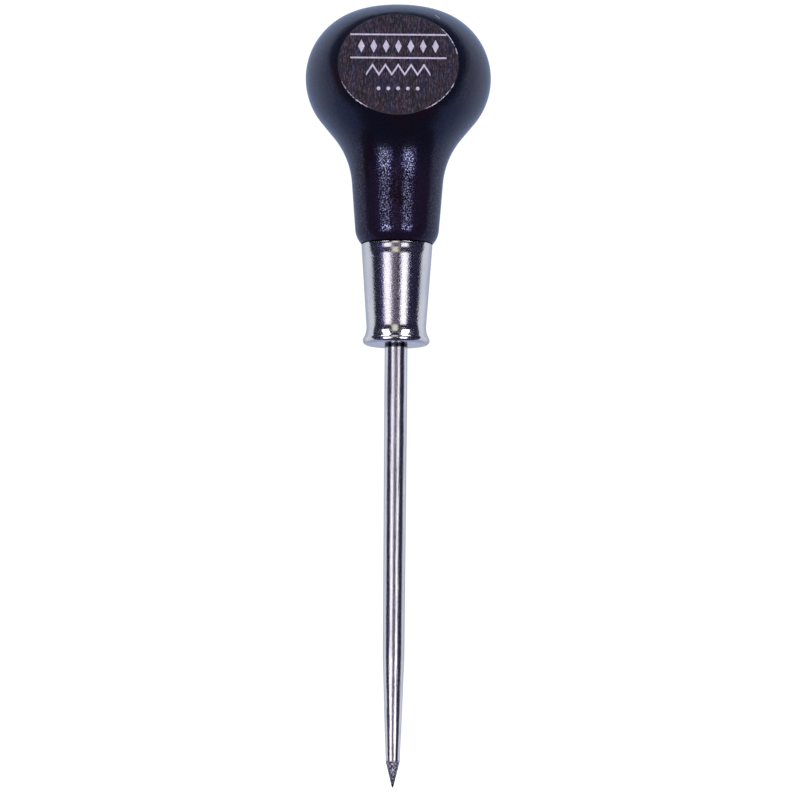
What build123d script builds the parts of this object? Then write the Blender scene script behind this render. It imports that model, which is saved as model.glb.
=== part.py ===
"""Scratch awl: round steel blade, plated ferrule and turned hardwood handle.

Millimetres. +Z runs up the awl's axis from its point, which is the origin.
The flat on the handle's head faces -Y.
"""

import math
import os

from build123d import *

# Overall stack, measured up from the point
overall_length = 154.0
blade_length = 86.5
ferrule_length = 20.05

# Handle outline, from the crown down to the ferrule
crown_radius = 33.0
crown_turn = 14.3
ball_radius = 13.62
ball_turn = 115.0
flank_length = 4.07
neck_radius = 16.7
neck_taper = 4.5
neck_length = 9.36
shoulder_radius = 4.6
shoulder_turn = 39.0

# Flat on the handle's head
flat_distance = 14.2
flat_edge_round = 0.25

# Ferrule: a drawn cup, closed below, with a flared and rounded foot
ferrule_top_radius = 7.04
ferrule_waist_radius = 5.89
ferrule_waist_height = 3.8
ferrule_flare_radius = 4.4
ferrule_flare_angle = 28.0
ferrule_foot_round = 0.85
ferrule_wall = 0.8
ferrule_top_round = 0.35
ferrule_hole_gap = 0.03

# Blade: parallel shank, slow taper, long point taper, short cone
shank_radius = 2.25
shank_length = 12.0
taper_end_radius = 2.1
taper_end_z = 25.4
cone_height = 5.1
cone_half_angle = 13.9
tip_round = 0.17

# Tang with two pressed wings, hidden in the handle
tang_radius = 2.05
tang_length = 45.0
tang_point_length = 2.5
tang_end_radius = 1.2
wing_span = 5.8
wing_thickness = 1.7
wing_start = 12.0
wing_length = 9.0
wing_slope = 2.0

# Clearances between the tang, the handle and the ferrule
press_gap = 0.03
bore_end_gap = 1.5

# Printed marks on the flat
ink_thickness = 0.04
rule_width = 0.32
frieze_length = 18.7
frieze_height = 4.6
frieze_z = 143.25
lozenge_count = 7
lozenge_pitch = 2.4
lozenge_width = 1.3
lozenge_height = 2.6
zigzag_z = 138.6
zigzag_teeth = 5
zigzag_pitch = 2.5
zigzag_height = 1.9
dot_z = 134.9
dot_count = 5
dot_pitch = 1.9
dot_radius = 0.36

# Heights that follow from the sizes above
ferrule_top_z = blade_length + ferrule_length
ferrule_floor_z = blade_length + ferrule_wall
ferrule_waist_z = blade_length + ferrule_waist_height
shank_end_z = blade_length - shank_length
tang_top_z = blade_length + tang_length
wing_low_z = blade_length + wing_start
wing_high_z = wing_low_z + wing_length


def ferrule_inner_radius(z):
    """Radius of the ferrule's tapered inner wall at a height."""
    rise = ferrule_top_z - ferrule_waist_z
    slope = (ferrule_top_radius - ferrule_waist_radius) / rise
    return ferrule_waist_radius - ferrule_wall + slope * (z - ferrule_waist_z)


def tang_outline(gap, end_gap):
    """Half outline of the tang above the ferrule's floor, grown by the gaps."""
    return [
        (tang_radius + gap, ferrule_floor_z),
        (tang_radius + gap, tang_top_z - tang_point_length + end_gap),
        (tang_end_radius + gap, tang_top_z + end_gap),
        (0, tang_top_z + end_gap),
    ]


def wing_outline(gap, low_z):
    """Side view of the two wings, grown by the gap and reaching down to low_z."""
    half = wing_span / 2 + gap
    shoulder_z = wing_high_z - wing_slope + gap
    return [
        (-half, low_z + wing_slope),
        (0, low_z),
        (half, low_z + wing_slope),
        (half, shoulder_z),
        (0, wing_high_z + gap),
        (-half, shoulder_z),
    ]


def zigzag_outline():
    """Closed outline of the zigzag band, its upper line and then its lower one."""
    half_pitch = zigzag_pitch / 2
    stroke = rule_width / math.cos(math.atan2(zigzag_height, half_pitch))
    upper = []
    for index in range(2 * zigzag_teeth + 1):
        x = (index - zigzag_teeth) * half_pitch
        z = zigzag_z + (index % 2 - 0.5) * zigzag_height
        upper.append((x, z + stroke / 2))
    lower = [(x, z - stroke) for x, z in reversed(upper)]
    return upper + lower


# Outlines of the printed marks: a plain frieze, a zigzag and a row of dots
with BuildSketch(Plane.XZ.offset(flat_distance)) as marks:
    for side in (-1, 1):
        with Locations((0, frieze_z + side * frieze_height / 2)):
            Rectangle(frieze_length, rule_width)
    with Locations((0, frieze_z)):
        with GridLocations(lozenge_pitch, 1, lozenge_count, 1):
            Polygon(
                (lozenge_width / 2, 0),
                (0, lozenge_height / 2),
                (-lozenge_width / 2, 0),
                (0, -lozenge_height / 2),
            )
    Polygon(*zigzag_outline(), align=None)
    with Locations((0, dot_z)):
        with GridLocations(dot_pitch, 1, dot_count, 1):
            Circle(dot_radius)

# Handle: one turned piece with a tapered tenon that fills the ferrule
with BuildPart() as handle:
    with BuildSketch(Plane.XZ):
        with BuildLine():
            crown = JernArc((0, overall_length), (1, 0), crown_radius, -crown_turn)
            ball = JernArc(crown @ 1, crown % 1, ball_radius, -ball_turn)
            flank = PolarLine(ball @ 1, flank_length, direction=ball % 1)
            neck_turn = crown_turn + ball_turn - 90 - neck_taper
            neck = JernArc(flank @ 1, flank % 1, neck_radius, neck_turn)
            throat = PolarLine(neck @ 1, neck_length, direction=neck % 1)
            shoulder = JernArc(throat @ 1, throat % 1, shoulder_radius, -shoulder_turn)
            seat_z = (shoulder @ 1).Y
            tenon_end_z = ferrule_floor_z + press_gap
            Polyline(
                shoulder @ 1,
                (ferrule_inner_radius(seat_z) - press_gap, seat_z),
                (ferrule_inner_radius(tenon_end_z) - press_gap, tenon_end_z),
                (0, tenon_end_z),
                (0, overall_length),
            )
        make_face()
    revolve(axis=Axis.Z)
    # The flat is parallel to the axis, and its edge is broken
    with BuildSketch(Plane.XZ.offset(flat_distance)):
        with Locations((0, overall_length - ball_radius)):
            Rectangle(4 * ball_radius, 4 * ball_radius)
    extrude(amount=ball_radius, mode=Mode.SUBTRACT)
    flat_face = handle.faces().sort_by(Axis.Y)[0]
    fillet(flat_face.edges(), flat_edge_round)
    # The marks are stamped in, so that the ink ends up level with the flat
    extrude(marks.sketch, amount=-ink_thickness, mode=Mode.SUBTRACT)
    # Blind bore for the tang, and the slots that its wings cut on the way in
    with BuildSketch(Plane.XZ):
        Polygon((0, ferrule_floor_z), *tang_outline(press_gap, bore_end_gap), align=None)
    revolve(axis=Axis.Z, mode=Mode.SUBTRACT)
    with BuildSketch(Plane.XZ):
        Polygon(*wing_outline(press_gap, blade_length - wing_slope), align=None)
    extrude(amount=wing_thickness / 2 + press_gap, both=True, mode=Mode.SUBTRACT)

# Ferrule: closed below, with a hole that slides over the shank
with BuildPart() as ferrule:
    with BuildSketch(Plane.XZ):
        with BuildLine():
            top = (ferrule_top_radius, ferrule_top_z)
            wall = Line(top, (ferrule_waist_radius, ferrule_waist_z))
            lean = math.degrees(math.asin(-(wall % 1).X))
            flare_turn = ferrule_flare_angle + lean
            flare = JernArc(wall @ 1, wall % 1, ferrule_flare_radius, flare_turn)
            slant = math.radians(ferrule_flare_angle)
            foot_z = blade_length + ferrule_foot_round * (1 + math.sin(slant))
            skirt_length = ((flare @ 1).Y - foot_z) / math.cos(slant)
            skirt = PolarLine(flare @ 1, skirt_length, direction=flare % 1)
            foot_turn = -90 - ferrule_flare_angle
            foot = JernArc(skirt @ 1, skirt % 1, ferrule_foot_round, foot_turn)
            Polyline(
                foot @ 1,
                (0, blade_length),
                (0, ferrule_floor_z),
                (ferrule_inner_radius(ferrule_floor_z), ferrule_floor_z),
                (ferrule_inner_radius(ferrule_top_z), ferrule_top_z),
                top,
            )
        make_face()
    revolve(axis=Axis.Z)
    with BuildSketch(Plane.XY.offset(blade_length)):
        Circle(shank_radius + ferrule_hole_gap)
    extrude(amount=ferrule_wall, mode=Mode.SUBTRACT)
    rim = ferrule.faces().sort_by(Axis.Z)[-1].edges().sort_by(SortBy.RADIUS)[-1]
    fillet(rim, ferrule_top_round)

# Blade: ground from one rod, with the tang and its wings at the top
with BuildPart() as blade:
    with BuildSketch(Plane.XZ):
        with BuildLine():
            tip = JernArc((0, 0), (1, 0), tip_round, 90 - cone_half_angle)
            cone_rise = cone_height - (tip @ 1).Y
            cone_radius = (tip @ 1).X + cone_rise * math.tan(math.radians(cone_half_angle))
            Polyline(
                tip @ 1,
                (cone_radius, cone_height),
                (taper_end_radius, taper_end_z),
                (shank_radius, shank_end_z),
                (shank_radius, blade_length),
                *tang_outline(0, 0),
                (0, 0),
            )
        make_face()
    revolve(axis=Axis.Z)
    with BuildSketch(Plane.XZ):
        Polygon(*wing_outline(0, wing_low_z), align=None)
    extrude(amount=wing_thickness / 2, both=True)

# Ink that fills the stamped marks
with BuildPart() as flat_print:
    extrude(marks.sketch, amount=-ink_thickness)

os.makedirs("parts", exist_ok=True)
handle.part.label = "handle"
export_step(handle.part, "parts/handle.step")
ferrule.part.label = "ferrule"
export_step(ferrule.part, "parts/ferrule.step")
blade.part.label = "blade"
export_step(blade.part, "parts/blade.step")
flat_print.part.label = "flat_print"
export_step(flat_print.part, "parts/flat_print.step")
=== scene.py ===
"""Looks of the scratch awl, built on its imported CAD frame. Metres, +Z up the awl's axis."""

import math

import bmesh
import bpy
from mathutils import Matrix, Vector, noise


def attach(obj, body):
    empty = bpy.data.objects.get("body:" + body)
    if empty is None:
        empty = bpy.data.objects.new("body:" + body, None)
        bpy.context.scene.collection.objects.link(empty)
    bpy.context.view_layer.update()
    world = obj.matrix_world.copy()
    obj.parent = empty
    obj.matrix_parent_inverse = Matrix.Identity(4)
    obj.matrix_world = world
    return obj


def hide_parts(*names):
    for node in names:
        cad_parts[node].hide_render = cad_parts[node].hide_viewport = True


MM = 0.001

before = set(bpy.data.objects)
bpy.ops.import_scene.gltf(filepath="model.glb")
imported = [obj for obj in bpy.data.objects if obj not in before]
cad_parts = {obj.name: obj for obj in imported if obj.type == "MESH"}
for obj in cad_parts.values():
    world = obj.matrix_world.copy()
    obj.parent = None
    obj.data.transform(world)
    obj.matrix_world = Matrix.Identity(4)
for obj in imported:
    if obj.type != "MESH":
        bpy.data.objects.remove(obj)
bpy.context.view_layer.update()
scene = bpy.context.scene

# ---------------------------------------------------------------- sizes, in mm

# Handle: outline from the crown down, and the flat on its head
HANDLE_TOP = 154.0
CROWN_RADIUS = 33.0
CROWN_TURN = 14.3
BALL_RADIUS = 13.62
BALL_TURN = 115.0
FLANK_LENGTH = 4.07
NECK_RADIUS = 16.7
NECK_TAPER = 4.5
THROAT_LENGTH = 9.36
SHOULDER_RADIUS = 4.6
SHOULDER_TURN = 39.0
SEAT_Z = 106.6
FLAT_DISTANCE = 14.2
FLAT_ROUND = 0.25
FLAT_CENTRE_Z = 139.7
# Middle tilt of the head's surface to the flat, along the flat's edge
FLAT_EDGE_TILT = 42.0

# Ferrule: (radius, height) of its waist and rim, and its flared foot
BLADE_TOP = 86.5
FERRULE_TOP = 106.55
FERRULE_WALL = 0.8
FERRULE_FLOOR = BLADE_TOP + FERRULE_WALL
WAIST = (5.89, BLADE_TOP + 3.8)
RIM = (7.04, FERRULE_TOP)
RIM_ROUND = 0.35
FLARE_RADIUS = 4.4
FLARE_ANGLE = 28.0
FOOT_ROUND = 0.85
# The rim is pressed in at the front: how deep, how far down, over what height,
# how far the lip turns in, and the angles from the front between which it fades
STAKE_DEPTH = 0.21
STAKE_LOW = 2.75
STAKE_BAND = 1.45
STAKE_LIP_HEIGHT = 0.85
STAKE_LIP_DEPTH = 0.22
STAKE_FULL = 30.0
STAKE_GONE = 57.0

# Blade and its tang with two wings
SHANK_RADIUS = 2.25
SHANK_LOW = 74.5
TAPER_RADIUS = 2.1
TAPER_LOW = 25.4
CONE_HEIGHT = 5.1
CONE_HALF_ANGLE = 13.9
TIP_ROUND = 0.17
TANG_RADIUS = 2.05
TANG_END_RADIUS = 1.2
TANG_POINT = 2.5
TANG_TOP = 131.5
WING_HALF = 2.9
WING_THICK = 0.85
WING_LOW = 98.5
WING_HIGH = 107.5
WING_SLOPE = 2.0

# Clearances of the press fits and past the tang's end
GAP = 0.03
BORE_END_GAP = 1.5

# Marks on the flat
RULE_WIDTH = 0.32
FRIEZE_Z = 143.25
FRIEZE_LENGTH = 18.7
FRIEZE_HEIGHT = 4.6
LOZENGE_COUNT = 7
LOZENGE_PITCH = 2.4
LOZENGE_WIDTH = 1.3
LOZENGE_HEIGHT = 2.6
ZIGZAG_Z = 138.6
ZIGZAG_TEETH = 5
ZIGZAG_PITCH = 2.5
ZIGZAG_HEIGHT = 1.9
DOT_Z = 134.9
DOT_COUNT = 5
DOT_PITCH = 1.9
DOT_RADIUS = 0.36
INK_PROUD = 0.008
INK_DEEP = 0.03
# The ink's outline is ragged: distance of its points, and the noise that moves them
INK_STEP = 0.12
INK_SHAKE = 0.02
INK_WAVE = 0.25
INK_SEED = 1

# Ends of the scratch on the crown, as (x, z), and its half width and fade at the ends
SCRATCH = ((7.0, 150.2), (8.15, 149.2))
SCRATCH_HALF = 0.11
SCRATCH_FADE = 0.4

# Points round each turned mesh
HANDLE_COLUMNS = 192
FERRULE_COLUMNS = 240
BLADE_COLUMNS = 96

# Places of the handle's other materials, after the lacquer
FLAT, ARRIS, TENON = 1, 2, 3


# ---------------------------------------------------------------- outlines
# A run is a list of (r, z, heading), in mm and radians, with the solid on its right.


def line_run(start, end):
    heading = math.atan2(end[1] - start[1], end[0] - start[0])
    return [(start[0], start[1], heading), (end[0], end[1], heading)]


def arc_run(start, heading, radius, turn, step=3.0):
    """Arc from a point and heading. A positive turn, in degrees, bends left."""
    count = max(2, math.ceil(abs(turn) / step))
    side = 1 if turn > 0 else -1
    centre_r = start[0] - side * radius * math.sin(heading)
    centre_z = start[1] + side * radius * math.cos(heading)
    run = []
    for k in range(count + 1):
        h = heading + math.radians(turn) * k / count
        r = centre_r + side * radius * math.sin(h)
        z = centre_z - side * radius * math.cos(h)
        run.append((r, z, h))
    return run


def turned(run, radius, turn, step=3.0):
    """Arc that goes on from the end of a run."""
    r, z, h = run[-1]
    return arc_run((r, z), h, radius, turn, step)


def ahead(run, length):
    """Straight run that goes on from the end of a run."""
    r, z, h = run[-1]
    return line_run((r, z), (r + length * math.cos(h), z + length * math.sin(h)))


def to(run, r, z):
    """Straight run from the end of a run to a point."""
    return line_run(run[-1][:2], (r, z))


def divided(run, most):
    """The run with its steps divided until none is longer than most."""
    out = [run[0]]
    for a, b in zip(run, run[1:]):
        count = max(1, math.ceil(math.dist(a[:2], b[:2]) / most))
        for k in range(1, count + 1):
            t = k / count
            out.append(tuple(a[i] + (b[i] - a[i]) * t for i in range(3)))
    return out


def ferrule_inside(z):
    """Radius of the ferrule's inner wall at a height."""
    slope = (RIM[0] - WAIST[0]) / (RIM[1] - WAIST[1])
    return WAIST[0] - FERRULE_WALL + slope * (z - WAIST[1])


# ---------------------------------------------------------------- meshes


def lathe(bm, runs, columns, reach=None, closed=False):
    """Turns the runs, joined end to end, about Z, and tags each face with its step."""
    steps = []
    rings = [runs[0][0][:2]]
    for run in runs:
        for a, b in zip(run, run[1:]):
            steps.append((a, b))
            rings.append(b[:2])
    if closed:
        rings.pop()
    made = []
    for r, z in rings:
        if r < 1e-6:
            made.append([bm.verts.new((0, 0, z * MM))])
            continue
        ring = []
        for c in range(columns):
            angle = 2 * math.pi * c / columns
            out = reach(r, z, angle) if reach else r
            place = (out * math.cos(angle), out * math.sin(angle), z)
            ring.append(bm.verts.new(Vector(place) * MM))
        made.append(ring)
    if closed:
        made.append(made[0])
    tag = bm.faces.layers.int.new("step")
    for index, (low, high) in enumerate(zip(made, made[1:])):
        for c in range(columns):
            d = (c + 1) % columns
            if len(low) == 1:
                corners = [low[0], high[c], high[d]]
            elif len(high) == 1:
                corners = [low[c], high[0], low[d]]
            else:
                corners = [low[c], high[c], high[d], low[d]]
            face = bm.faces.new(corners)
            face[tag] = index
    return steps


def lathe_normal(step, place):
    """Exact outward normal of a turned surface at a place near it."""
    (r0, z0, h0), (r1, z1, h1) = step
    r = math.hypot(place.x, place.y) / MM
    z = place.z / MM
    length = (r1 - r0) ** 2 + (z1 - z0) ** 2
    t = ((r - r0) * (r1 - r0) + (z - z0) * (z1 - z0)) / length
    h = h0 + (h1 - h0) * min(max(t, 0), 1) + math.pi / 2
    if r < 1e-6:
        return Vector((0, 0, math.sin(h)))
    out = math.cos(h) / (r * MM)
    return Vector((place.x * out, place.y * out, math.sin(h)))


def link(name, bm, materials, normals=None):
    """Object from bm, with smooth faces and, where given, exact corner normals."""
    bmesh.ops.recalc_face_normals(bm, faces=bm.faces)
    for face in bm.faces:
        face.smooth = True
    mesh = bpy.data.meshes.new(name)
    bm.to_mesh(mesh)
    bm.free()
    for look in materials:
        mesh.materials.append(look)
    if normals:
        corners = [Vector((0, 0, 0))] * len(mesh.loops)
        for poly in mesh.polygons:
            for loop in poly.loop_indices:
                vertex = mesh.vertices[mesh.loops[loop].vertex_index]
                corners[loop] = normals(mesh, poly, vertex) or poly.normal
        mesh.normals_split_custom_set(corners)
    obj = bpy.data.objects.new(name, mesh)
    scene.collection.objects.link(obj)
    return obj


def turned_normals(steps, plain=lambda step: False):
    """Corner normals of a lathe mesh, with plain faces where it isn't round."""

    def normals(mesh, poly, vertex):
        step = mesh.attributes["step"].data[poly.index].value
        if step < 0:
            return Vector(mesh.attributes["rim"].data[vertex.index].vector)
        if plain(steps[step]):
            return None
        return lathe_normal(steps[step], vertex.co)

    return normals


def cut_flat(bm, steps):
    """Cuts the flat on the head and rounds its edge."""
    depth = FLAT_ROUND * (1 - math.cos(math.radians(FLAT_EDGE_TILT)))
    level = (FLAT_DISTANCE - depth) * MM
    rim = bm.verts.layers.float_vector.new("rim")
    tag = bm.faces.layers.int["step"]
    cut = bmesh.ops.bisect_plane(
        bm,
        geom=bm.verts[:] + bm.edges[:] + bm.faces[:],
        dist=1e-7,
        plane_co=(0, -level, 0),
        plane_no=(0, -1, 0),
        clear_outer=True,
    )
    edge = [g for g in cut["geom_cut"] if isinstance(g, bmesh.types.BMVert)]
    centre = FLAT_CENTRE_Z * MM
    edge.sort(key=lambda v: math.atan2(v.co.z - centre, v.co.x))
    facts = []
    for v in edge:
        step = steps[v.link_faces[0][tag]]
        n = lathe_normal(step, v.co).normalized()
        v[rim] = n
        side = Vector((n.x, 0, n.z)).normalized()
        angle = math.acos(-n.y)
        arris = v.co - side * (depth * MM / math.tan(angle))
        arris.y = -FLAT_DISTANCE * MM
        facts.append((arris, side, angle))
    front = Vector((0, -1, 0))
    rows = [edge]
    edge_steps = 6
    for k in range(1, edge_steps + 1):
        row = []
        for arris, side, angle in facts:
            t = angle * (1 - k / edge_steps)
            out = math.sin(t) - math.tan(angle / 2)
            up = math.cos(t) - 1
            place = arris + (side * out + front * up) * FLAT_ROUND * MM
            v = bm.verts.new(place)
            v[rim] = side * math.sin(t) + front * math.cos(t)
            row.append(v)
        rows.append(row)
    for low, high in zip(rows, rows[1:]):
        for c in range(len(edge)):
            d = (c + 1) % len(edge)
            face = bm.faces.new([low[c], low[d], high[d], high[c]])
            face[tag] = -1
            face.material_index = ARRIS
    flat = bm.faces.new(rows[-1])
    flat[tag] = -1
    flat.material_index = FLAT


def wing_reach(gap, low):
    """Distance from the axis to the tang's surface, wings included."""

    def reach(r, z, angle):
        if abs(r - TANG_RADIUS - gap) > 1e-6:
            return r
        top = (WING_HIGH + gap - z) / WING_SLOPE
        bottom = (z - low) / WING_SLOPE
        half = (WING_HALF + gap) * min(1, max(0, min(top, bottom)))
        across = max(abs(math.cos(angle)), 1e-9)
        along = max(abs(math.sin(angle)), 1e-9)
        return max(r, min(half / across, (WING_THICK + gap) / along))

    return reach


def eased(t):
    """Smooth step from 0 to 1."""
    t = min(max(t, 0.0), 1.0)
    return t * t * (3 - 2 * t)


def stake(z, angle):
    """How far the ferrule's rim is pressed in at the front, in mm."""
    off = abs(math.degrees(math.remainder(angle + math.pi / 2, 2 * math.pi)))
    across = eased((STAKE_GONE - off) / (STAKE_GONE - STAKE_FULL))
    below = FERRULE_TOP - z
    lip = max(0.0, 1 - below / STAKE_LIP_HEIGHT) ** 2 * STAKE_LIP_DEPTH
    return across * (STAKE_DEPTH * eased((STAKE_LOW - below) / STAKE_BAND) + lip)


def staked(r, z, angle):
    """Radius of the ferrule's surface, with the rim pressed in."""
    return r - stake(z, angle) if r > ferrule_inside(z) + FERRULE_WALL / 2 else r


def staked_normals(steps):
    """Corner normals of the ferrule: turned ones, tipped where the rim is pressed in."""
    plain = turned_normals(steps)
    # Small step along the wall in mm, and round it in radians
    small = 0.01

    def normals(mesh, poly, vertex):
        n = plain(mesh, poly, vertex)
        x, y, z = vertex.co / MM
        r = math.hypot(x, y)
        angle = math.atan2(y, x)
        if r < ferrule_inside(z) + 0.1 or stake(z, angle) == 0:
            return n
        rise = (stake(z + small, angle) - stake(z - small, angle)) / (2 * small)
        swing = (stake(z, angle + small) - stake(z, angle - small)) / (2 * small) / r
        out = (n.x * x + n.y * y) / r
        place = Vector((x / r, y / r, 0))
        along = Vector((-y / r, x / r, 0))
        return place * out + along * out * swing + Vector((0, 0, n.z + rise * out))

    return normals


def near_wings(step):
    """Whether a step lies where the tang, or its bore, isn't round."""
    (r0, z0, h0), (r1, z1, h1) = step
    return max(r0, r1) < TANG_RADIUS + 0.2 and FERRULE_FLOOR < z0 < WING_HIGH + 1


# ---------------------------------------------------------------- materials


class Graph:
    """Short way to build a node tree."""

    def __init__(self, tree):
        self.tree = tree
        self.tree.nodes.clear()

    def node(self, kind, inputs=None, **settings):
        n = self.tree.nodes.new(kind)
        for key, value in settings.items():
            setattr(n, key, value)
        for key, value in (inputs or {}).items():
            self.put(n.inputs[key], value)
        return n

    def put(self, socket, value):
        if isinstance(value, bpy.types.NodeSocket):
            self.tree.links.new(value, socket)
        else:
            socket.default_value = value

    def math(self, operation, a, b=0.0, clamp=False):
        n = self.node("ShaderNodeMath", {0: a, 1: b}, operation=operation)
        n.use_clamp = clamp
        return n.outputs[0]

    def ramp(self, value, low, high, out_low=0.0, out_high=1.0, smooth=True):
        """Maps low..high to out_low..out_high, held at both ends."""
        n = self.node(
            "ShaderNodeMapRange",
            {0: value, 1: low, 2: high, 3: out_low, 4: out_high},
            interpolation_type="SMOOTHSTEP" if smooth else "LINEAR",
        )
        return n.outputs[0]

    def mix(self, factor, a, b, blend="MIX"):
        n = self.node("ShaderNodeMix", data_type="RGBA", blend_type=blend)
        self.put(n.inputs[0], factor)
        self.put(n.inputs[6], a)
        self.put(n.inputs[7], b)
        return n.outputs[2]

    def scaled(self, size_mm):
        """Object coordinates with one unit for each given length, in mm."""
        place = self.node("ShaderNodeTexCoord").outputs["Object"]
        scale = [1 / (s * MM) for s in size_mm]
        return self.node("ShaderNodeMapping", {0: place, 3: scale}).outputs[0]

    def noise(self, size_mm, detail=2.0, roughness=0.5, distortion=0.0):
        n = self.node(
            "ShaderNodeTexNoise",
            {
                "Vector": self.scaled(size_mm),
                "Scale": 1.0,
                "Detail": detail,
                "Roughness": roughness,
                "Distortion": distortion,
            },
        )
        return n.outputs[0]

    def axis(self, index):
        """One object coordinate: 0 for x, 1 for y, 2 for z."""
        place = self.node("ShaderNodeTexCoord").outputs["Object"]
        return self.node("ShaderNodeSeparateXYZ", {0: place}).outputs[index]

    def bump(self, height, distance_mm, strength=1.0, normal=None):
        n = self.node(
            "ShaderNodeBump",
            {"Height": height, "Distance": distance_mm * MM, "Strength": strength},
        )
        if normal is not None:
            self.put(n.inputs["Normal"], normal)
        return n.outputs[0]


def material(name):
    """A new material, its graph and the inputs of its Principled shader."""
    m = bpy.data.materials.new(name)
    m.use_nodes = True
    g = Graph(m.node_tree)
    out = g.node("ShaderNodeOutputMaterial")
    shader = g.node("ShaderNodeBsdfPrincipled")
    g.put(out.inputs["Surface"], shader.outputs[0])
    return m, g, shader.inputs


def rgb(r, g, b):
    """sRGB bytes to a linear colour."""

    def linear(v):
        v /= 255
        return v / 12.92 if v <= 0.04045 else ((v + 0.055) / 1.055) ** 2.4

    return (linear(r), linear(g), linear(b), 1.0)


def lacquered_wood():
    """Near-black lacquer over turned wood: orange peel, a violet neck and a glinting front."""
    m, g, p = material("lacquered_wood")
    grain = g.noise((0.3, 0.3, 7.0), detail=4, roughness=0.6, distortion=0.2)
    cloud = g.noise((6.0, 6.0, 9.0), detail=2)
    neck = g.ramp(g.axis(2), 127 * MM, 119 * MM)
    body = g.mix(neck, (0.0064, 0.0068, 0.0132, 1), (0.0152, 0.0088, 0.0215, 1))
    warm = g.mix(g.ramp(cloud, 0.52, 0.72), body, (0.0100, 0.0038, 0.0055, 1))
    streaked = g.mix(g.ramp(grain, 0.45, 0.8), warm, (0.0085, 0.0055, 0.0100, 1))
    forward = g.axis(1)
    thin = g.math("MULTIPLY", g.ramp(forward, -11.5 * MM, -14.0 * MM), g.ramp(cloud, 0.48, 0.66))
    wear_and_glint = g.mix(thin, streaked, (0.013, 0.0052, 0.0090, 1))
    g.put(p["Base Color"], g.mix(scratch(g), wear_and_glint, rgb(176, 182, 200)))
    p["Sheen Weight"].default_value = 0.4
    p["Sheen Roughness"].default_value = 0.35
    p["Sheen Tint"].default_value = (0.08, 0.42, 1.0, 1)
    peel = g.noise((0.30, 0.30, 0.33), detail=2, roughness=0.6)
    soft = g.noise((1.6, 1.6, 2.2), detail=1)
    specks = g.noise((0.23, 0.23, 0.26), detail=1, roughness=0.7)
    glints = g.ramp(specks, 0.52, 0.66, 0.06, 3.8)
    dimples = g.ramp(specks, 0.46, 0.64, 0.12, 0.65)
    head_gloss = g.ramp(specks, 0.40, 0.65, 0.30, 0.62)
    front = g.ramp(forward, -6.6 * MM, -7.8 * MM)
    on_neck = g.math("MULTIPLY", blended(g, front, dimples, glints), neck)
    on_head = g.math("MULTIPLY", head_gloss, g.math("SUBTRACT", 1.0, neck))
    g.put(p["Specular IOR Level"], g.math("ADD", on_neck, on_head))
    g.put(p["Roughness"], g.ramp(specks, 0.45, 0.62, 0.20, 0.11, smooth=False))
    p["Specular Tint"].default_value = (0.56, 0.60, 1.0, 1)
    g.put(p["Normal"], g.bump(soft, 0.03, normal=g.bump(peel, 0.024)))
    return m


def blended(g, factor, low, high):
    """Number from low to high as the factor goes from 0 to 1."""
    span = g.math("SUBTRACT", high, low)
    return g.math("ADD", low, g.math("MULTIPLY", span, factor))


def scratch(g):
    """1 on a short scratch across the crown, right of the flat."""
    (x0, z0), (x1, z1) = SCRATCH
    length = math.dist((x0, z0), (x1, z1))
    along_x, along_z = (x1 - x0) / length, (z1 - z0) / length
    x = g.math("SUBTRACT", g.math("DIVIDE", g.axis(0), MM), x0)
    z = g.math("SUBTRACT", g.math("DIVIDE", g.axis(2), MM), z0)
    t = g.math("ADD", g.math("MULTIPLY", x, along_x), g.math("MULTIPLY", z, along_z))
    off = g.math("SUBTRACT", g.math("MULTIPLY", x, along_z), g.math("MULTIPLY", z, along_x))
    line = g.ramp(g.math("ABSOLUTE", off), SCRATCH_HALF, 0.03)
    first, last = g.ramp(t, 0.0, SCRATCH_FADE), g.ramp(t, length, length - SCRATCH_FADE)
    ends = g.math("MULTIPLY", first, last)
    front = g.math("LESS_THAN", g.axis(1), 0.0)
    return g.math("MULTIPLY", g.math("MULTIPLY", line, ends), front)


def sanded_flat():
    """The bare, stained wood of the flat, with its grain up the handle."""
    m, g, p = material("sanded_flat")
    fine = g.noise((0.23, 1.0, 1.0), detail=2, roughness=0.8)
    fibre = g.noise((0.36, 1.0, 3.4), detail=3, roughness=0.65, distortion=0.3)
    tone = g.noise((0.6, 1.0, 1.7), detail=2)
    broad = g.noise((1.6, 1.0, 5.0), detail=2)
    base = g.mix(g.ramp(broad, 0.35, 0.65), rgb(43, 27, 41), rgb(32, 29, 56))
    base = g.mix(g.ramp(fibre, 0.46, 0.58), base, rgb(8, 5, 16))
    pale = g.mix(g.ramp(tone, 0.44, 0.56), rgb(93, 73, 82), rgb(74, 73, 93))
    colour = g.mix(g.ramp(fine, 0.49, 0.65), base, pale)
    g.put(p["Base Color"], colour)
    g.put(p["Roughness"], g.ramp(fine, 0.3, 0.7, 0.55, 0.75, smooth=False))
    p["Specular IOR Level"].default_value = 0.3
    g.put(p["Normal"], g.bump(fibre, 0.05))
    return m


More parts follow.
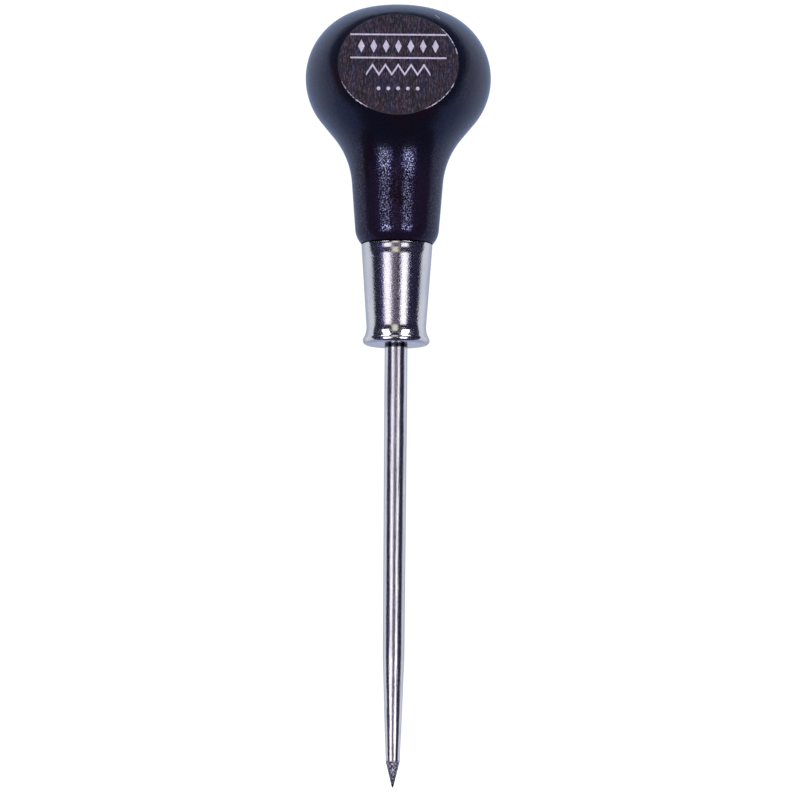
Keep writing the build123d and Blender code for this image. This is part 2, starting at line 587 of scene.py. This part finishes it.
def arris_painted_glints():
    """The flat's rounded edge: lacquer, with painted highlight in near-white patches where the
    lamps glint on it.
    """
    m, g, p = material("arris_painted_glints")
    x, z = g.axis(0), g.axis(2)
    reach = g.math("ABSOLUTE", x)
    # Painted highlight: at the lower left, lower right and upper right of the edge, where the
    # lamps glint, the colour is painted near white and broken into patches
    low = g.math("MULTIPLY", g.ramp(z, 136.5 * MM, 135.5 * MM), g.ramp(reach, 5 * MM, 6.5 * MM))
    high = g.math("MULTIPLY", g.ramp(z, 141 * MM, 142 * MM), g.ramp(x, 8 * MM, 9 * MM))
    wear_and_glint = g.math("ADD", low, high, clamp=True)
    breaks = g.noise((0.7, 0.7, 0.7), detail=3, roughness=0.7)
    wear_and_glint = g.math("MULTIPLY", wear_and_glint, g.ramp(breaks, 0.42, 0.55))
    g.put(p["Base Color"], g.mix(wear_and_glint, (0.008, 0.007, 0.012, 1), rgb(225, 222, 238)))
    g.put(p["Roughness"], g.ramp(breaks, 0.3, 0.7, 0.35, 0.5, smooth=False))
    g.put(p["Normal"], g.bump(breaks, 0.02))
    return m


def tenon_wood():
    """Dark stained wood without lacquer, below the shoulder."""
    m, g, p = material("tenon_wood")
    fibre = g.noise((0.4, 0.4, 5.0), detail=3)
    g.put(p["Base Color"], g.mix(g.ramp(fibre, 0.35, 0.65), rgb(20, 14, 20), rgb(40, 29, 34)))
    p["Roughness"].default_value = 0.8
    p["Specular IOR Level"].default_value = 0.1
    g.put(p["Normal"], g.bump(fibre, 0.05))
    return m


def nickel():
    """Bright plate with fine pits and haze, smoother on the foot and the rim."""
    m, g, p = material("plated_metal")
    spots = g.noise((0.42, 0.42, 0.42), detail=3, roughness=0.65)
    cloud = g.noise((3.0, 3.0, 6.0), detail=2)
    tint = g.mix(g.ramp(cloud, 0.3, 0.7), rgb(214, 212, 210), rgb(202, 200, 202))
    g.put(p["Base Color"], tint)
    p["Metallic"].default_value = 1.0
    g.put(p["Roughness"], g.ramp(spots, 0.3, 0.7, 0.07, 0.16, smooth=False))
    haze = g.noise((0.22, 0.22, 0.22), detail=1, roughness=0.7)
    z = g.axis(2)
    above_foot = g.ramp(z, (WAIST[1] - 1.2) * MM, (WAIST[1] + 0.8) * MM, 0.2, 1.0)
    below_rim = g.ramp(z, (RIM[1] - 0.9) * MM, (RIM[1] - 0.5) * MM, 1.0, 0.2)
    on_wall = g.math("MULTIPLY", above_foot, below_rim)
    pits = g.bump(haze, 0.018, strength=on_wall)
    g.put(p["Normal"], g.bump(spots, 0.020, strength=on_wall, normal=pits))
    g.put(p["Coat Weight"], g.ramp(haze, 0.50, 0.57, 0.0, 1.0))
    p["Coat Roughness"].default_value = 0.28
    p["Coat IOR"].default_value = 2.5
    g.put(p["Coat Normal"], g.bump(haze, 0.03))
    return m


def ground_steel():
    """Steel with grinding rings and drawn lines, a coarse, darker ground cone and painted shade
    just below the ferrule.
    """
    m, g, p = material("ground_steel")
    rings = g.noise((0.9, 0.9, 0.14), detail=3, roughness=0.6)
    lines = g.noise((0.35, 0.35, 9.0), detail=2)
    z = g.axis(2)
    base = g.mix(g.ramp(lines, 0.3, 0.7), rgb(222, 220, 218), rgb(208, 206, 208))
    cone = g.ramp(z, (CONE_HEIGHT + 0.2) * MM, (CONE_HEIGHT - 0.2) * MM)
    chips = g.noise((0.28, 0.28, 0.4), detail=2, roughness=0.7, distortion=0.3)
    ground = g.mix(g.ramp(chips, 0.47, 0.62), rgb(12, 11, 24), rgb(196, 194, 212))
    ground = g.mix(g.ramp(z, 1.3 * MM, 0.6 * MM), ground, rgb(30, 29, 42))
    # Painted shade: the steel is painted dark in a narrow band just below the ferrule, where the
    # ferrule shades it
    painted_shade_band = g.ramp(z, (BLADE_TOP - 0.8) * MM, (BLADE_TOP - 0.4) * MM)
    shank_with_shade = g.mix(painted_shade_band, base, rgb(34, 32, 46))
    g.put(p["Base Color"], g.mix(cone, shank_with_shade, ground))
    p["Metallic"].default_value = 1.0
    rough = g.ramp(rings, 0.3, 0.7, 0.16, 0.24, smooth=False)
    g.put(p["Roughness"], g.math("ADD", rough, g.math("MULTIPLY", cone, 0.15)))
    coarse = g.math("MULTIPLY", chips, cone)
    pits = g.noise((0.34, 0.34, 0.5), detail=2, roughness=0.6)
    drawn = g.bump(lines, 0.028, normal=g.bump(pits, 0.011))
    fine = g.bump(rings, 0.008, normal=drawn)
    g.put(p["Normal"], g.bump(coarse, 0.09, normal=fine))
    g.put(p["Coat Weight"], g.ramp(pits, 0.5, 0.62, 0.0, 0.8))
    p["Coat Roughness"].default_value = 0.3
    p["Coat IOR"].default_value = 1.7
    return m


def white_ink():
    """Thin pale ink, worn to the wood here and there."""
    m, g, p = material("white_ink")
    worn = g.noise((0.25, 0.3, 0.4), detail=3, roughness=0.6)
    fresh = g.mix(g.ramp(worn, 0.3, 0.6), rgb(218, 214, 230), rgb(196, 190, 210))
    g.put(p["Base Color"], g.mix(g.ramp(worn, 0.6, 0.78), fresh, rgb(96, 84, 104)))
    p["Roughness"].default_value = 0.55
    g.put(p["Normal"], g.bump(worn, 0.01))
    return m


def floor_white():
    """Matt white that lights itself, so that the floor is as pale as the room."""
    m, g, p = material("studio_floor")
    g.put(p["Base Color"], (0.8, 0.8, 0.8, 1))
    p["Roughness"].default_value = 0.9
    p["Specular IOR Level"].default_value = 0.0
    p["Emission Color"].default_value = (1, 1, 1, 1)
    p["Emission Strength"].default_value = 0.75
    return m


# ---------------------------------------------------------------- handle

crown = arc_run((0, HANDLE_TOP), 0, CROWN_RADIUS, -CROWN_TURN)
ball = turned(crown, BALL_RADIUS, -BALL_TURN)
flank = ahead(ball, FLANK_LENGTH)
neck = turned(flank, NECK_RADIUS, CROWN_TURN + BALL_TURN - 90 - NECK_TAPER)
throat = ahead(neck, THROAT_LENGTH)
shoulder = turned(throat, SHOULDER_RADIUS, -SHOULDER_TURN)
seat = to(shoulder, ferrule_inside(SEAT_Z) - GAP, SEAT_Z)
tenon_end = FERRULE_FLOOR + GAP
tenon = to(seat, ferrule_inside(tenon_end) - GAP, tenon_end)
mouth = to(tenon, TANG_RADIUS + GAP, tenon_end)
bore_top = TANG_TOP + BORE_END_GAP
bore = to(mouth, TANG_RADIUS + GAP, bore_top - TANG_POINT)
bore_cone = to(bore, TANG_END_RADIUS + GAP, bore_top)
bore_end = to(bore_cone, 0, bore_top)

bm = bmesh.new()
handle_steps = lathe(
    bm,
    [
        divided(crown, 1.5),
        ball,
        divided(flank, 1.0),
        neck,
        divided(throat, 1.5),
        shoulder,
        seat,
        divided(tenon, 2.0),
        mouth,
        divided(bore, 0.5),
        bore_cone,
        bore_end,
    ],
    HANDLE_COLUMNS,
    wing_reach(GAP, BLADE_TOP - WING_SLOPE),
)
cut_flat(bm, handle_steps)
# The wood is bare from the ferrule's rim down
for face in bm.faces:
    if face.calc_center_median().z < (SEAT_Z + 0.01) * MM:
        face.material_index = TENON
handle = link(
    "handle_wood",
    bm,
    [lacquered_wood(), sanded_flat(), arris_painted_glints(), tenon_wood()],
    turned_normals(handle_steps, near_wings),
)
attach(handle, "root")
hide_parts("handle")

# ---------------------------------------------------------------- ferrule

slant = math.radians(FLARE_ANGLE)
start = (ferrule_inside(FERRULE_TOP), FERRULE_TOP)
wall_slope = (RIM[0] - WAIST[0]) / (RIM[1] - WAIST[1])
lean = math.atan(wall_slope)
top_turn = -(90 + math.degrees(lean))
cut_back = RIM_ROUND * math.tan(math.radians(-top_turn) / 2)
land = line_run(start, (RIM[0] - cut_back, FERRULE_TOP))
lip = turned(land, RIM_ROUND, top_turn, 8)
# Below this height nothing is pressed in, so the wall needs fewer rings
wall_break = FERRULE_TOP - STAKE_LOW - 0.2
wall_top = to(lip, WAIST[0] + wall_slope * (wall_break - WAIST[1]), wall_break)
wall = to(wall_top, *WAIST)
flare = turned(wall, FLARE_RADIUS, FLARE_ANGLE + math.degrees(lean), 3)
foot_z = BLADE_TOP + FOOT_ROUND * (1 + math.sin(slant))
skirt = ahead(flare, (flare[-1][1] - foot_z) / math.cos(slant))
foot = turned(skirt, FOOT_ROUND, -90 - FLARE_ANGLE, 5)
base = to(foot, SHANK_RADIUS + GAP, BLADE_TOP)
hole = to(base, SHANK_RADIUS + GAP, FERRULE_FLOOR)
floor_run = to(hole, ferrule_inside(FERRULE_FLOOR), FERRULE_FLOOR)
inside = to(floor_run, *start)

bm = bmesh.new()
ferrule_steps = lathe(
    bm,
    [
        land,
        lip,
        divided(wall_top, 0.12),
        divided(wall, 1.0),
        flare,
        skirt,
        foot,
        base,
        hole,
        floor_run,
        divided(inside, 2.0),
    ],
    FERRULE_COLUMNS,
    staked,
    closed=True,
)
ferrule = link("ferrule_cup", bm, [nickel()], staked_normals(ferrule_steps))
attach(ferrule, "root")
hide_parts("ferrule")

# ---------------------------------------------------------------- blade

tang_end = line_run((0, TANG_TOP), (TANG_END_RADIUS, TANG_TOP))
tang_cone = to(tang_end, TANG_RADIUS, TANG_TOP - TANG_POINT)
tang = to(tang_cone, TANG_RADIUS, FERRULE_FLOOR)
ease = to(tang, SHANK_RADIUS, BLADE_TOP)
shank = to(ease, SHANK_RADIUS, SHANK_LOW)
taper = to(shank, TAPER_RADIUS, TAPER_LOW)
half_angle = math.radians(CONE_HALF_ANGLE)
tip_top = (TIP_ROUND * math.cos(half_angle), TIP_ROUND * (1 - math.sin(half_angle)))
cone_radius = tip_top[0] + (CONE_HEIGHT - tip_top[1]) * math.tan(half_angle)
point = to(taper, cone_radius, CONE_HEIGHT)
cone = to(point, *tip_top)
tip = turned(cone, TIP_ROUND, CONE_HALF_ANGLE - 90, 10)
tip[-1] = (0.0, 0.0, tip[-1][2])

bm = bmesh.new()
blade_steps = lathe(
    bm,
    [
        tang_end,
        tang_cone,
        divided(tang, 0.5),
        ease,
        divided(shank, 2),
        divided(taper, 2),
        divided(point, 1),
        divided(cone, 0.4),
        tip,
    ],
    BLADE_COLUMNS,
    wing_reach(0, WING_LOW),
)
blade = link("blade_steel", bm, [ground_steel()], turned_normals(blade_steps, near_wings))
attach(blade, "root")
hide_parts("blade")

# ---------------------------------------------------------------- marks on the flat


def ink_shape(bm, outline):
    """Thin solid with a slightly ragged outline, given in mm on the flat."""
    points = []
    for (x0, z0), (x1, z1) in zip(outline, outline[1:] + outline[:1]):
        count = max(1, round(math.dist((x0, z0), (x1, z1)) / INK_STEP))
        for k in range(count):
            t = k / count
            x, z = x0 + (x1 - x0) * t, z0 + (z1 - z0) * t
            shake = noise.noise_vector(Vector((x, 0, z)) / INK_WAVE) * INK_SHAKE
            points.append((x + shake.x, z + shake.z))
    front = -(FLAT_DISTANCE + INK_PROUD) * MM
    back = -(FLAT_DISTANCE - INK_DEEP) * MM
    rows = [[bm.verts.new((x * MM, y, z * MM)) for x, z in points] for y in (front, back)]
    bm.faces.new(rows[0])
    bm.faces.new(rows[1][::-1])
    for k in range(len(points)):
        n = (k + 1) % len(points)
        bm.faces.new([rows[0][k], rows[0][n], rows[1][n], rows[1][k]])


def box_outline(x, z, width, height):
    return [
        (x - width / 2, z - height / 2),
        (x + width / 2, z - height / 2),
        (x + width / 2, z + height / 2),
        (x - width / 2, z + height / 2),
    ]


def lozenge_outline(x, z):
    half_width, half_height = LOZENGE_WIDTH / 2, LOZENGE_HEIGHT / 2
    return [(x + half_width, z), (x, z + half_height), (x - half_width, z), (x, z - half_height)]


def zigzag_outline():
    """Closed outline of the zigzag band, its upper line and then its lower one."""
    half_pitch = ZIGZAG_PITCH / 2
    stroke = RULE_WIDTH / math.cos(math.atan2(ZIGZAG_HEIGHT, half_pitch))
    upper = []
    for k in range(2 * ZIGZAG_TEETH + 1):
        z = ZIGZAG_Z + (k % 2 - 0.5) * ZIGZAG_HEIGHT
        upper.append(((k - ZIGZAG_TEETH) * half_pitch, z + stroke / 2))
    lower = [(x, z - stroke) for x, z in reversed(upper)]
    return upper + lower


def dot_outline(x, z, corners=20):
    turns = [2 * math.pi * k / corners for k in range(corners)]
    return [(x + DOT_RADIUS * math.cos(a), z + DOT_RADIUS * math.sin(a)) for a in turns]


def spread(count, pitch):
    """Places of a centred row."""
    return [(k - (count - 1) / 2) * pitch for k in range(count)]


# The noise takes its seed from the clock unless it is given one
noise.seed_set(INK_SEED)
bm = bmesh.new()
for z in (FRIEZE_Z - FRIEZE_HEIGHT / 2, FRIEZE_Z + FRIEZE_HEIGHT / 2):
    ink_shape(bm, box_outline(0, z, FRIEZE_LENGTH, RULE_WIDTH))
for x in spread(LOZENGE_COUNT, LOZENGE_PITCH):
    ink_shape(bm, lozenge_outline(x, FRIEZE_Z))
ink_shape(bm, zigzag_outline())
for x in spread(DOT_COUNT, DOT_PITCH):
    ink_shape(bm, dot_outline(x, DOT_Z))
marks = link("flat_marks", bm, [white_ink()])
for poly in marks.data.polygons:
    poly.use_smooth = False
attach(marks, "root")
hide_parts("flat_print")

# ---------------------------------------------------------------- studio

# In metres
FLOOR_HALF = 4.0
FLOOR_DROP = 0.0002
# How far the upper lamps droop to the sides: 1 for not at all
DROOP = 0.63

bm = bmesh.new()
bmesh.ops.create_grid(bm, x_segments=8, y_segments=8, size=FLOOR_HALF)
floor = link("studio_floor", bm, [floor_white()])
floor.location.z = -FLOOR_DROP
floor.visible_diffuse = False
floor.visible_glossy = False
floor.visible_transmission = False
floor.visible_shadow = False

world = bpy.data.worlds.new("studio")
scene.world = world
world.use_nodes = True
g = Graph(world.node_tree)
way = g.node("ShaderNodeTexCoord").outputs["Generated"]
part = g.node("ShaderNodeSeparateXYZ", {0: way})
x, y, z = part.outputs
# Direction angles: azimuth from the front to the right, rise above level, and slope, which
# is the rise straight in front and droops to the sides
azimuth = g.math("ARCTAN2", x, g.math("MULTIPLY", y, -1.0))
rise = g.math("ARCSINE", z)
forward = g.math("MULTIPLY", y, y)
across = g.math("MULTIPLY", g.math("MULTIPLY", x, x), DROOP)
slope = g.math("ARCTAN2", z, g.math("SQRT", g.math("ADD", forward, across)))


def window(angle, low, high, soft_low, soft_high):
    """1 between two angles in degrees, 0 outside, with its own softness at each end."""
    r = math.radians
    rising = g.ramp(angle, r(low - soft_low), r(low + soft_low))
    falling = g.ramp(angle, r(high + soft_high), r(high - soft_high))
    return g.math("MULTIPLY", rising, falling)


# The room is dark in front of the awl and pale behind it, dimmer straight behind and
# below, and the dark reaches further back overhead
DARK = (0.020, 0.019, 0.049, 1)
PALE = (0.80, 0.84, 0.98, 1)
PALE_BACK = (0.46, 0.50, 0.64, 1)
PALE_BELOW = (0.37, 0.42, 0.68, 1)
edge = g.math("MULTIPLY", g.math("MAXIMUM", z, 0.0), 0.45)
behind = g.math("SUBTRACT", y, edge)
pale = g.mix(g.ramp(y, 0.45, 0.95), PALE, PALE_BACK)
pale = g.mix(g.ramp(z, -0.75, -0.15), PALE_BELOW, pale)
glow = g.mix(g.ramp(behind, -0.03, 0.015), DARK, pale)

# Two tall soft boxes in front, brightest low down and with blue fringes, and two more above
# them. Between them are a faint grey and, higher up, a pale yellow panel, and on the left
# are faint tints of green and violet
BOX = (5.7, 5.6, 5.0, 1)
FRINGE = (0.10, 0.06, 0.9, 1)
UPPER_BOX = (5.2, 5.2, 5.8, 1)
GREY = (0.14, 0.115, 0.14, 1)
YELLOW = (0.95, 0.93, 0.78, 1)
GREEN = (0.02, 0.035, 0.004, 1)
VIOLET = (0.03, 0.022, 0.10, 1)
fall = g.ramp(rise, math.radians(-14), math.radians(-3), 0.9, 0.25)
tall = g.math("MULTIPLY", window(rise, -32, 11, 3, 3), fall)
high = g.math("MULTIPLY", window(slope, 39, 66, 3, 4), g.ramp(y, -0.06, -0.14))
beside = window(rise, -40, 40, 9, 9)
lamps = (
    (tall, window(azimuth, -45, -20, 2, 6), BOX),
    (tall, window(azimuth, 15, 38, 2, 2), BOX),
    (tall, window(azimuth, -50, -15, 3, 6), FRINGE),
    (tall, window(azimuth, 11, 43, 3, 3), FRINGE),
    (high, window(azimuth, -61, -33, 3, 2), UPPER_BOX),
    (high, window(azimuth, 27, 57, 2, 3), UPPER_BOX),
    (window(rise, -20, 12, 8, 8), window(azimuth, -22, 2, 12, 6), GREY),
    (window(rise, 12, 46, 6, 5), window(azimuth, -17, 6, 6, 5), YELLOW),
    (beside, window(azimuth, -94, -84, 4, 6), GREEN),
    (beside, window(azimuth, -60, -48, 5, 3), VIOLET),
)
for tall_part, wide_part, colour in lamps:
    lamp = g.mix(g.math("MULTIPLY", tall_part, wide_part), (0, 0, 0, 1), colour)
    glow = g.mix(1.0, glow, lamp, "ADD")
# The camera sees plain white in place of the room
seen = g.node("ShaderNodeLightPath").outputs["Is Camera Ray"]
shown = g.mix(seen, glow, (1.05, 1.05, 1.05, 1))
sky = g.node("ShaderNodeBackground", {"Color": shown, "Strength": 1.0})
out = g.node("ShaderNodeOutputWorld")
g.put(out.inputs["Surface"], sky.outputs[0])

scene.view_settings.view_transform = "Standard"

# ---------------------------------------------------------------- camera

# In mm and degrees
CAMERA_ELEVATION = -6.1
CAMERA_ROLL = 0.46
CAMERA_DISTANCE = 600.0
CAMERA_AIM = (0.85, 0, 75.63)
FOCAL_LENGTH = 137.34
SENSOR_WIDTH = 36.0

elevation = math.radians(CAMERA_ELEVATION)
back = Vector((0, -math.cos(elevation), math.sin(elevation)))
lens = bpy.data.cameras.new("camera")
lens.lens = FOCAL_LENGTH
lens.sensor_width = SENSOR_WIDTH
lens.clip_start = 0.05
lens.clip_end = 20.0
camera = bpy.data.objects.new("camera", lens)
scene.collection.objects.link(camera)
camera.location = (Vector(CAMERA_AIM) + back * CAMERA_DISTANCE) * MM
roll = Matrix.Rotation(math.radians(CAMERA_ROLL), 4, "Z")
camera.matrix_world = (
    Matrix.Translation(camera.location)
    @ back.to_track_quat("Z", "Y").to_matrix().to_4x4()
    @ roll
)
scene.camera = camera
